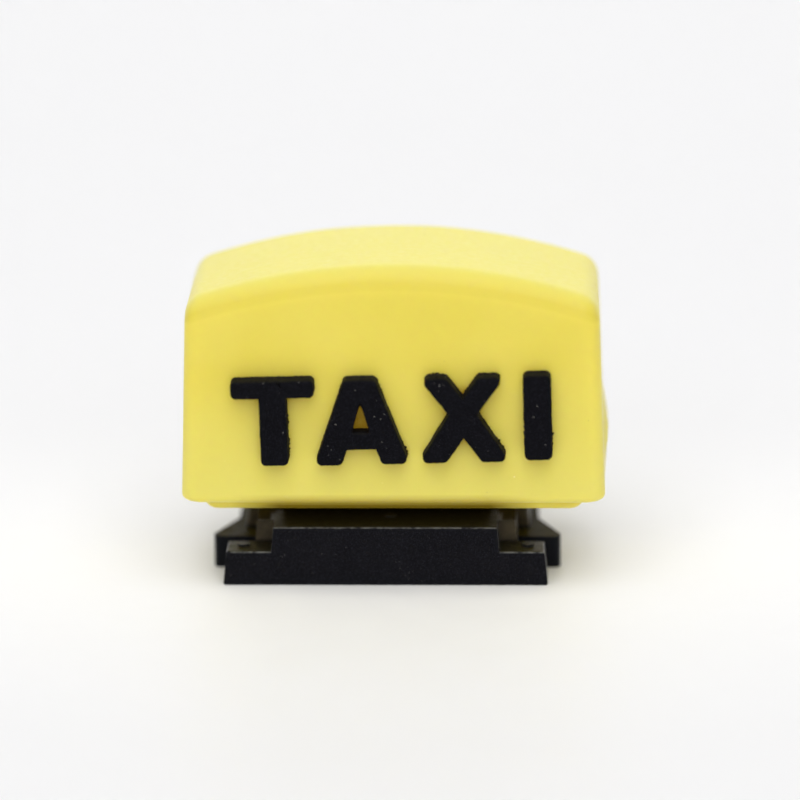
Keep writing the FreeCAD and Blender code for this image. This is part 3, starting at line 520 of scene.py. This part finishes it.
class ShellShape:
    """One skin of the crowned shell: an open-bottomed box with leaning ends and rounded edges."""

    ARC_STEPS = 8
    LIP_STEPS = 5
    FACE_ROWS = 40
    TOP_STEPS = 24
    STATIONS = 72

    def __init__(self, low, high, eave_half, crown_radius, face_round, end_round, lip):
        self.middle_x = (low.x + high.x) / 2
        self.half_low = (high.x - low.x) / 2
        self.half_eave = eave_half
        self.half_depth = (high.y - low.y) / 2
        self.z_low = low.z
        self.z_top = high.z
        self.crown_radius = crown_radius
        self.face_round = face_round
        self.end_round = end_round
        self.lip = lip
        self.points = []
        self.index = {}

        self.rows = self.FACE_ROWS + self.LIP_STEPS
        self.last = len(self.stations()) - 1
        self.total = len(self.profile(self.z_top, 0.0)) - 1
        self.columns = self.total - 2 * self.rows

    def half_width(self, z):
        """Half the width at a height: the ends lean in towards the top."""
        eave = self.crown(self.half_eave)
        share = (z - self.z_low) / (eave - self.z_low)
        return self.half_low + (self.half_eave - self.half_low) * share - self.tucked(z)

    def tucked(self, z):
        """How far the skin is drawn in near its lower edge: rounded in, or flared out if lip is negative."""
        rise = z - self.z_low
        reach = abs(self.lip)
        if rise >= reach:
            return 0.0
        if self.lip < 0:
            return self.lip * (1 - rise / reach)
        return reach - math.sqrt(reach**2 - (reach - rise) ** 2)

    def crown(self, x):
        """The top's height over a place along the shell."""
        return self.z_top - self.crown_radius + math.sqrt(self.crown_radius**2 - x * x)

    def profile(self, top, inset):
        """The section from the front's lower edge over the top to the back's, as (y, z)."""
        depth = self.half_depth - inset
        radius = max(self.face_round - inset, self.face_round * 0.5)
        top -= inset
        shoulder = top - radius
        front = []
        for step in range(self.LIP_STEPS):
            z = self.z_low + abs(self.lip) * (1 - math.cos(math.pi / 2 * step / self.LIP_STEPS))
            front.append((-(depth - self.tucked(z)), z))
        foot = self.z_low + abs(self.lip)
        for row in range(self.FACE_ROWS + 1):
            front.append((-depth, foot + (shoulder - foot) * row / self.FACE_ROWS))
        for step in range(1, self.ARC_STEPS + 1):
            angle = math.pi / 2 * step / self.ARC_STEPS
            front.append((-depth + radius * (1 - math.cos(angle)), shoulder + radius * math.sin(angle)))
        steps = range(1, self.TOP_STEPS)
        flat = [(-(depth - radius) * (1 - 2 * step / self.TOP_STEPS), top) for step in steps]
        return front + flat + [(-y, z) for y, z in reversed(front)]

    def stations(self):
        """Places along the shell as (side, distance in from the end, inset, share of the run)."""
        arc = []
        for step in range(self.ARC_STEPS + 1):
            angle = math.pi / 2 * (1 - step / self.ARC_STEPS)
            arc.append((self.end_round * (1 - math.sin(angle)), self.end_round * (1 - math.cos(angle))))
        left = [(-1, off, inset, None) for off, inset in arc]
        run = [(0, 0.0, 0.0, -1 + 2 * step / self.STATIONS) for step in range(1, self.STATIONS)]
        right = [(1, off, inset, None) for off, inset in reversed(arc)]
        return left + run + right

    def x_at(self, station, z):
        """How far along the shell a station lies at a height."""
        side, off, _, share = station
        if share is None:
            return side * (self.half_width(z) - off)
        return share * (self.half_width(z) - self.end_round)

    def add(self, key, x, y, z):
        """Keeps a point under a key that tells its place in the grid."""
        self.index[key] = len(self.points)
        self.points.append(Vector((x + self.middle_x, y, z)))

    def build(self):
        """Lays out the wrap's points and the two end caps' inner points."""
        stations = self.stations()
        for i, station in enumerate(stations):
            top = self.crown(self.x_at(station, self.z_top))
            for j, (y, z) in enumerate(self.profile(top, station[2])):
                self.add(("wrap", i, j), self.x_at(station, z), y, z)
        for end in (0, self.last):
            station = stations[end]
            for row in range(self.rows):
                rim = self.points[self.index[("wrap", end, row)]]
                shoulder = self.points[self.index[("wrap", end, self.rows)]]
                share = (rim.z - self.z_low) / (shoulder.z - self.z_low)
                for column in range(1, self.columns):
                    over = self.points[self.index[("wrap", end, self.rows + column)]]
                    z = self.z_low + (over.z - self.z_low) * share
                    self.add(("cap", end, row, column), self.x_at(station, z), over.y, z)

    def cap_key(self, end, row, column):
        """The point at a cap's row and column, which is a wrap point along its border."""
        if column == 0:
            return ("wrap", end, row)
        if column == self.columns:
            return ("wrap", end, self.total - row)
        if row == self.rows:
            return ("wrap", end, self.rows + column)
        return ("cap", end, row, column)

    def quads(self):
        """Every quad as four keys."""
        for i in range(self.last):
            for j in range(self.total):
                yield (("wrap", i, j), ("wrap", i + 1, j), ("wrap", i + 1, j + 1), ("wrap", i, j + 1))
        for end in (0, self.last):
            for row in range(self.rows):
                for column in range(self.columns):
                    yield tuple(
                        self.cap_key(end, row + up, column + along)
                        for up, along in ((0, 0), (0, 1), (1, 1), (1, 0))
                    )


def in_notch(points, middle_x):
    """True when a quad lies inside the knob's notch, low in the back wall."""
    half_width = 2.0 * MM
    top = 7.1 * MM
    middle = sum(points, Vector()) / len(points)
    return middle.y > 0 and abs(middle.x - middle_x) < half_width and middle.z < top


def make_shell(material):
    """The lamp shell: outer and inner skins joined round the lower edge and the knob's notch."""
    low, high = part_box("lamp_shell")
    wall = 1.0 * MM
    gate_proud = 0.12 * MM
    high = Vector((high.x - gate_proud, high.y, high.z))
    crown_radius = 31.9 * MM
    eave_half = 10.82 * MM
    outer = ShellShape(
        low,
        high,
        eave_half,
        crown_radius,
        face_round=1.28 * MM,
        end_round=0.8 * MM,
        lip=0.45 * MM,
    )
    inner = ShellShape(
        low + Vector((wall, wall, 0)),
        high - Vector((wall, wall, wall)),
        eave_half - wall,
        crown_radius - wall,
        face_round=0.5 * MM,
        end_round=0.3 * MM,
        lip=-0.08 * MM,
    )
    points = []
    faces = []
    borders = []
    for skin in (outer, inner):
        skin.build()
        start = len(points)
        points += skin.points
        border = {}
        for quad in skin.quads():
            if in_notch([outer.points[outer.index[key]] for key in quad], outer.middle_x):
                continue
            faces.append([start + skin.index[key] for key in quad])
            for a, b in zip(quad, quad[1:] + quad[:1]):
                edge = frozenset((a, b))
                border[edge] = None if edge in border else (a, b)
        borders.append({edge: pair for edge, pair in border.items() if pair})
    shift = len(outer.points)
    for edge, (a, b) in borders[0].items():
        faces.append([outer.index[a], outer.index[b], shift + inner.index[b], shift + inner.index[a]])
    roughen_shell(points, shift, outer)
    piece = mesh_object("lamp_shell_moulding", points, faces, material)
    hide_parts("lamp_shell")
    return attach(piece, "shell")


def gate_lift(point):
    """How far the trimmed moulding gate stands out at a place on the right end wall."""
    middle_y = -0.6 * MM
    middle_z = 7.7 * MM
    half = 2.0 * MM
    crest = 0.15
    rim_mm, swell_mm = 0.05, 0.23
    side_slope = 5
    tear_grain_mm, tear_depth, seed = 0.5, 0.2, 2
    across = abs(point.y - middle_y) / half
    up = (point.z - middle_z) / half
    if across >= 1 or abs(up) >= 1:
        return 0.0
    slope = (up + 1) / (crest + 1) if up < crest else (1 - up) / (1 - crest)
    ragged = 1.0 + tear_depth * wobble(point, tear_grain_mm, seed)
    return (rim_mm + swell_mm * slope) * MM * min(1.0, (1 - across) * side_slope) * ragged


def roughen_shell(points, outer_count, outer):
    """Gives the outer skin slight waves and the trimmed gate stub on its right end."""
    wave = 0.02 * MM
    wave_grain_mm, seed = 4.0, 1
    ease_height = 1.0 * MM
    end_wall_reach = 1.2 * MM
    end_wall = outer.middle_x + outer.half_low - end_wall_reach
    middle = Vector((outer.middle_x, 0, outer.z_low))
    for point in points[:outer_count]:
        ease = min(1.0, (point.z - outer.z_low) / ease_height)
        away = (point - middle).normalized()
        point += away * wave * ease * wobble(point, wave_grain_mm, seed)
        if point.x > end_wall:
            point.x += gate_lift(point)


# The letters


def outline_loops(node, y_front):
    """The closed outlines of a node's flat front, each as a list of (x, z)."""
    flat_within = 0.002 * MM
    grid = 1e-7
    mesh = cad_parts[node].data
    mesh.calc_loop_triangles()
    edges = {}
    for triangle in mesh.loop_triangles:
        corners = [mesh.vertices[i].co for i in triangle.vertices]
        if max(abs(corner.y - y_front) for corner in corners) > flat_within:
            continue
        keys = [(round(corner.x / grid), round(corner.z / grid)) for corner in corners]
        for a, b in zip(keys, keys[1:] + keys[:1]):
            if (b, a) in edges:
                del edges[(b, a)]
            else:
                edges[(a, b)] = True
    following = {a: b for a, b in edges}
    loops = []
    while following:
        start = next(iter(following))
        loop = [start]
        step = following.pop(start)
        while step != start:
            loop.append(step)
            step = following.pop(step)
        loops.append([Vector((x * grid, z * grid)) for x, z in loop])
    return loops


def resample(loop, spacing):
    """The same closed outline with evenly spaced points."""
    fewest = 12
    lengths = [(b - a).length for a, b in zip(loop, loop[1:] + loop[:1])]
    total = sum(lengths)
    count = max(fewest, round(total / spacing))
    places = np.concatenate([[0], np.cumsum(lengths)])
    xs = [point.x for point in loop] + [loop[0].x]
    zs = [point.y for point in loop] + [loop[0].y]
    steps = np.arange(count) * total / count
    return [Vector(pair) for pair in zip(np.interp(steps, places, xs), np.interp(steps, places, zs))]


def outward(loop):
    """The outward unit normals of a closed outline whose material is on its left."""
    normals = []
    for before, after in zip(loop[-1:] + loop[:-1], loop[1:] + loop[:1]):
        along = after - before
        normals.append(Vector((along.y, -along.x)).normalized())
    return normals


def make_letter(side, letter, material, seed):
    """A raised letter: its CAD outline with a soft front edge, a slightly uneven rim and a thin foot.

    Each ring is a place across the letter's thickness and how far it stands out from the outline.
    """
    rim_spacing = 0.045 * MM
    foot_rings = 2
    node = f"{side}_letter_{letter}"
    low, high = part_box(node)
    front, back = (low.y, high.y) if side == "front" else (high.y, low.y)
    inward = 1.0 if side == "front" else -1.0
    rings = (
        (back + inward * 0.05 * MM, 0.02 * MM),
        (back - inward * 0.03 * MM, 0.01 * MM),
        (front + inward * 0.08 * MM, 0.0),
        (front + inward * 0.03 * MM, -0.015 * MM),
        (front + inward * 0.008 * MM, -0.04 * MM),
        (front, -0.08 * MM),
    )
    shape = bmesh.new()
    caps = {0: [], len(rings) - 1: []}
    for loop in outline_loops(node, front):
        loop = resample(loop, rim_spacing)
        normals = outward(loop)
        sense = outline_sense(node, front)
        rough = [rim_wander(point, seed) for point in loop]
        burrs = [burr(point, seed) for point in loop]
        made = []
        for level, (y, offset) in enumerate(rings):
            ring = []
            for point, normal, rise, flash in zip(loop, normals, rough, burrs):
                spread = flash if level < foot_rings else 0.0
                place = point + normal * sense * (offset + rise + spread)
                ring.append(shape.verts.new((place.x, y, place.y)))
            made.append(ring)
        for lower, upper in zip(made, made[1:]):
            for i in range(len(lower)):
                j = (i + 1) % len(lower)
                shape.faces.new((lower[i], lower[j], upper[j], upper[i]))
        for level in caps:
            ring = made[level]
            for i in range(len(ring)):
                j = (i + 1) % len(ring)
                edge = shape.edges.get((ring[i], ring[j]))
                caps[level].append(edge)
    for edges in caps.values():
        bmesh.ops.triangle_fill(shape, use_beauty=True, use_dissolve=False, edges=edges)
    bmesh.ops.recalc_face_normals(shape, faces=shape.faces)
    shape.verts.index_update()
    points = [vert.co.copy() for vert in shape.verts]
    faces = [[vert.index for vert in face.verts] for face in shape.faces]
    shape.free()
    piece = mesh_object(f"{node}_moulding", points, faces, material)
    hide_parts(node)
    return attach(piece, "shell")


def outline_sense(node, y_front):
    """1 when outline_loops runs with material on its left, seen with X right and Z up, else -1."""
    loops = outline_loops(node, y_front)
    areas = [sum(a.cross(b) for a, b in zip(loop, loop[1:] + loop[:1])) for loop in loops]
    return 1.0 if max(areas, key=abs) > 0 else -1.0


def rim_wander(point, seed):
    """How far a letter's rim strays from its outline here."""
    layers = ((0.012, 0.5, 0), (0.015, 0.16, 9), (0.008, 0.07, 5))
    place = (point.x, point.y, 0.0)
    return sum(depth_mm * wobble(place, grain_mm, seed + shift) for depth_mm, grain_mm, shift in layers) * MM


def burr(point, seed):
    """How far a ragged burr at a letter's foot creeps out over the shell here, mostly nothing."""
    reach_mm = 0.42
    patch_grain_mm, patch_shift = 1.1, 13
    spike_grain_mm, spike_shift = 0.09, 17
    place = (point.x, point.y, 0.0)
    patch = max(0.0, wobble(place, patch_grain_mm, seed + patch_shift))
    spikes = max(0.0, wobble(place, spike_grain_mm, seed + spike_shift))
    return reach_mm * patch * spikes * MM


# CAD nodes that stay


def soften(node, width_mm):
    """Merges coplanar triangles and rounds a CAD node's hard edges, with modifiers only."""
    level_within = math.radians(0.5)
    hard_from = math.radians(28)
    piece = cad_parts[node]
    flat = piece.modifiers.new("merge_flats", "DECIMATE")
    flat.decimate_type = "DISSOLVE"
    flat.angle_limit = level_within
    bevel = piece.modifiers.new("edge_round", "BEVEL")
    bevel.width = width_mm * MM
    bevel.segments = 2
    bevel.limit_method = "ANGLE"
    bevel.angle_limit = hard_from
    bevel.harden_normals = True
    bevel.miter_outer = "MITER_ARC"


def dress(node, material, round_mm=0.0):
    """Gives a CAD node its material and, if asked, softened edges."""
    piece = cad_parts[node]
    for slot in piece.material_slots:
        slot.link = "OBJECT"
        slot.material = material
    if round_mm:
        soften(node, round_mm)


# Stage


def make_floor():
    """A pale sheet that lies flat under the sign and sweeps up behind it, where light comes through it. It is
    painted a little darker towards the front, glows at its far front edge, and round the sign's foot has a
    painted fill of light, yellowish near the sign.
    """
    graph = Graph("pale_sheet")
    light_patch, dark_patch, front_shade = (0.86, 0.86, 0.87), (0.84, 0.84, 0.85), (0.79, 0.79, 0.80)
    white_glow, painted_yellow_bounce = (1.0, 1.0, 1.0), (1.0, 0.985, 0.88)
    behind_strength, front_edge_strength, painted_fill_strength = 0.10, 0.45, 0.06
    shade = graph.mix(graph.noise(60.0, 2.0), light_patch, dark_patch)
    shade = graph.mix(graph.along(Y, 0.0, -40.0), shade, front_shade)
    # Painted light: a glow round the foot, yellowish near the sign, lightens the sign's shadow and stands for
    # the yellow light its shell throws on the floor.
    painted_fill_round_foot = graph.near(0.0, 0.0, 9.0, 30.0, squeeze=0.7)
    glow = graph.math(
        "ADD",
        graph.times(graph.along(Y, 20.0, 150.0), behind_strength),
        graph.times(graph.along(Y, -130.0, -500.0), front_edge_strength),
    )
    graph.set(
        Base_Color=shade,
        Roughness=graph.uneven(2.0, 0.42, 0.55),
        Emission_Color=graph.mix(painted_fill_round_foot, white_glow, painted_yellow_bounce),
        Emission_Strength=graph.math("ADD", glow, graph.times(painted_fill_round_foot, painted_fill_strength)),
    )
    graph.bump((graph.noise(0.8, 3.0), 0.01))
    half = 600 * MM
    near = -700 * MM
    bend_start = 150 * MM
    radius = 140 * MM
    wall_top = 700 * MM
    run = [(near, 0.0), (bend_start, 0.0)]
    bend_steps = 24
    for step in range(1, bend_steps + 1):
        angle = math.pi / 2 * step / bend_steps
        run.append((bend_start + radius * math.sin(angle), radius * (1 - math.cos(angle))))
    run.append((bend_start + radius, wall_top))
    points = []
    for y, z in run:
        points += [(-half, y, z), (half, y, z)]
    faces = [(2 * i, 2 * i + 1, 2 * i + 3, 2 * i + 2) for i in range(len(run) - 1)]
    mesh_object("sheet", points, faces, graph.material, smooth_angle=60.0)


def add_area_light(name, place_mm, aim_mm, size_mm, power, colour):
    """A soft rectangular light aimed at a point."""
    light = bpy.data.lights.new(name, "AREA")
    light.shape = "RECTANGLE"
    light.size, light.size_y = (side * MM for side in size_mm)
    light.energy = power
    light.color = colour
    lamp = bpy.data.objects.new(name, light)
    bpy.context.scene.collection.objects.link(lamp)
    lamp.location = Vector(place_mm) * MM
    lamp.rotation_euler = (Vector(aim_mm) - Vector(place_mm)).to_track_quat("-Z", "Y").to_euler()


def light_scene():
    """A white tent, dimmer towards the horizon, with a broad top light and one high in front.

    The camera sees the tent itself white all over.
    """
    world = bpy.data.worlds.new("tent")
    world.use_nodes = True
    tree = world.node_tree
    place = tree.nodes.new("ShaderNodeTexCoord")
    split = tree.nodes.new("ShaderNodeSeparateXYZ")
    rise = tree.nodes.new("ShaderNodeMapRange")
    tree.links.new(place.outputs["Generated"], split.inputs[0])
    tree.links.new(split.outputs["Z"], rise.inputs["Value"])
    horizon, overhead, seen_directly = 0.30, 0.42, 0.92
    overhead_from = 0.6
    middle_of_sign = (0, 0, 8)
    rise.inputs["From Max"].default_value = overhead_from
    rise.inputs["To Min"].default_value = horizon
    rise.inputs["To Max"].default_value = overhead
    tree.nodes["Background"].inputs["Color"].default_value = (1.0, 1.0, 1.0, 1.0)
    ray = tree.nodes.new("ShaderNodeLightPath")
    strength = tree.nodes.new("ShaderNodeMix")
    strength.inputs["B"].default_value = seen_directly
    tree.links.new(ray.outputs["Is Camera Ray"], strength.inputs["Factor"])
    tree.links.new(rise.outputs["Result"], strength.inputs["A"])
    tree.links.new(strength.outputs["Result"], tree.nodes["Background"].inputs["Strength"])
    bpy.context.scene.world = world
    add_area_light("top", (0, -130, 420), middle_of_sign, (420, 300), power=1.04, colour=(1.0, 0.995, 0.98))
    add_area_light("front", (0, -400, 320), middle_of_sign, (460, 320), power=1.05, colour=(1.0, 1.0, 1.0))


def place_camera():
    """A long lens a little above the sign, focused just behind the front letters."""
    elevation = math.radians(15.953)
    azimuth = math.radians(1.859)
    roll = math.radians(-0.5)
    distance = 264.556 * MM
    target = Vector((0.712, 0.0, 8.964)) * MM
    back = Vector(
        (
            math.sin(azimuth) * math.cos(elevation),
            -math.cos(azimuth) * math.cos(elevation),
            math.sin(elevation),
        )
    )
    data = bpy.data.cameras.new("camera")
    data.lens = 222.84
    data.sensor_width = 36.0
    data.clip_start = 1 * MM
    data.clip_end = 5.0
    camera = bpy.data.objects.new("camera", data)
    bpy.context.scene.collection.objects.link(camera)
    camera.location = target + back * distance
    level = back.to_track_quat("Z", "Y")
    camera.rotation_euler = (level @ Quaternion((0, 0, 1), roll)).to_euler()
    bpy.context.scene.camera = camera
    focus_ahead = 4.156 * MM
    data.dof.use_dof = True
    data.dof.focus_object = add_marker("focus", target + back * focus_ahead)
    stop_down_elsewhere(camera)


def add_marker(name, place):
    """An empty that only marks a place."""
    marker = bpy.data.objects.new(name, None)
    bpy.context.scene.collection.objects.link(marker)
    marker.location = place
    return marker


def stop_down_elsewhere(camera):
    """A shallow focus from the camera's own place, and a closed aperture once it is moved away."""
    open_stop = 18.0
    closed_stop = 600.0
    moved = 20 * MM
    curve = camera.data.dof.driver_add("aperture_fstop")
    for modifier in list(curve.modifiers):
        curve.modifiers.remove(modifier)
    curve.keyframe_points.insert(0.0, open_stop)
    curve.keyframe_points.insert(moved, closed_stop)
    curve.driver.type = "SUM"
    offset = curve.driver.variables.new()
    offset.type = "LOC_DIFF"
    offset.targets[0].id = camera
    offset.targets[1].id = add_marker("tripod", camera.location)


def set_tone():
    """Plain display tones with no film curve."""
    view = bpy.context.scene.view_settings
    view.view_transform = "Standard"
    view.look = "None"
    view.exposure = 0.0


# Assembly of the looks

letter_look = worn_black(
    "letter_black",
    base=(0.0026, 0.0026, 0.0036),
    edge_wear_and_highlight=(0.014, 0.013, 0.008),
    grain_mm=0.09,
    depth_mm=0.010,
    roughness=0.55,
    edge_mm=0.06,
    rubbing=0.6,
    shine=0.05,
    dust_and_glints=0.9,
)
foot_look = worn_black(
    "foot_black",
    base=(0.0038, 0.0038, 0.0050),
    edge_wear_and_highlight=(0.075, 0.075, 0.068),
    grain_mm=0.08,
    depth_mm=0.012,
    roughness=0.36,
    edge_mm=0.07,
    rubbing=1.0,
    shine=0.48,
    dust_and_glints=0.25,
)
paint_light_on_the_foot(foot_look)
cell_steel = metal("cell_steel", (0.60, 0.60, 0.58), 0.30, brushed=(1.0, 0.08, 0.08))
contact_steel = metal("contact_steel", (0.62, 0.61, 0.59), 0.28, brushed=(0.1, 1.0, 0.1))
contact_brass = metal("contact_brass", (0.72, 0.53, 0.22), 0.30, brushed=(0.1, 1.0, 0.1))
screw_steel = metal("screw_steel", (0.55, 0.56, 0.57), 0.34, brushed=(1.0, 1.0, 0.3))
terminal_tin = metal("terminal_tin", (0.66, 0.66, 0.64), 0.38, brushed=(1.0, 0.4, 1.0))
resin = lamp_resin()

make_shell(yellow_lens())
rear_seed_shift = 20
for seed, letter in enumerate("taxi", start=3):
    make_letter("front", letter, letter_look.material, seed)
    make_letter("rear", letter, letter_look.material, seed + rear_seed_shift)

dress("shoe_foot", foot_look.material, round_mm=0.07)
dress("base_cover", yellow_base(), round_mm=0.05)
dress("circuit_board", board_laminate(), round_mm=0.03)
dress("battery_cradle", plain_plastic("cradle_plastic", (0.62, 0.60, 0.55), 0.5), round_mm=0.05)
for node in ("battery_cell_left", "battery_cell_middle", "battery_cell_right"):
    dress(node, cell_steel)
dress("positive_contact", contact_brass, round_mm=0.02)
dress("negative_contact", contact_steel, round_mm=0.02)
dress("led_left", resin)
dress("led_right", resin)
dress("resistor", resistor_coat())
dress("switch_body", plain_plastic("switch_plastic", (0.03, 0.03, 0.034), 0.45), round_mm=0.04)
dress("switch_slider", plain_plastic("knob_plastic", (0.045, 0.045, 0.05), 0.5), round_mm=0.04)
dress("switch_terminals", terminal_tin, round_mm=0.02)
dress("foot_screws", screw_steel, round_mm=0.03)
dress("board_screws", screw_steel, round_mm=0.03)

make_floor()
light_scene()
place_camera()
set_tone()
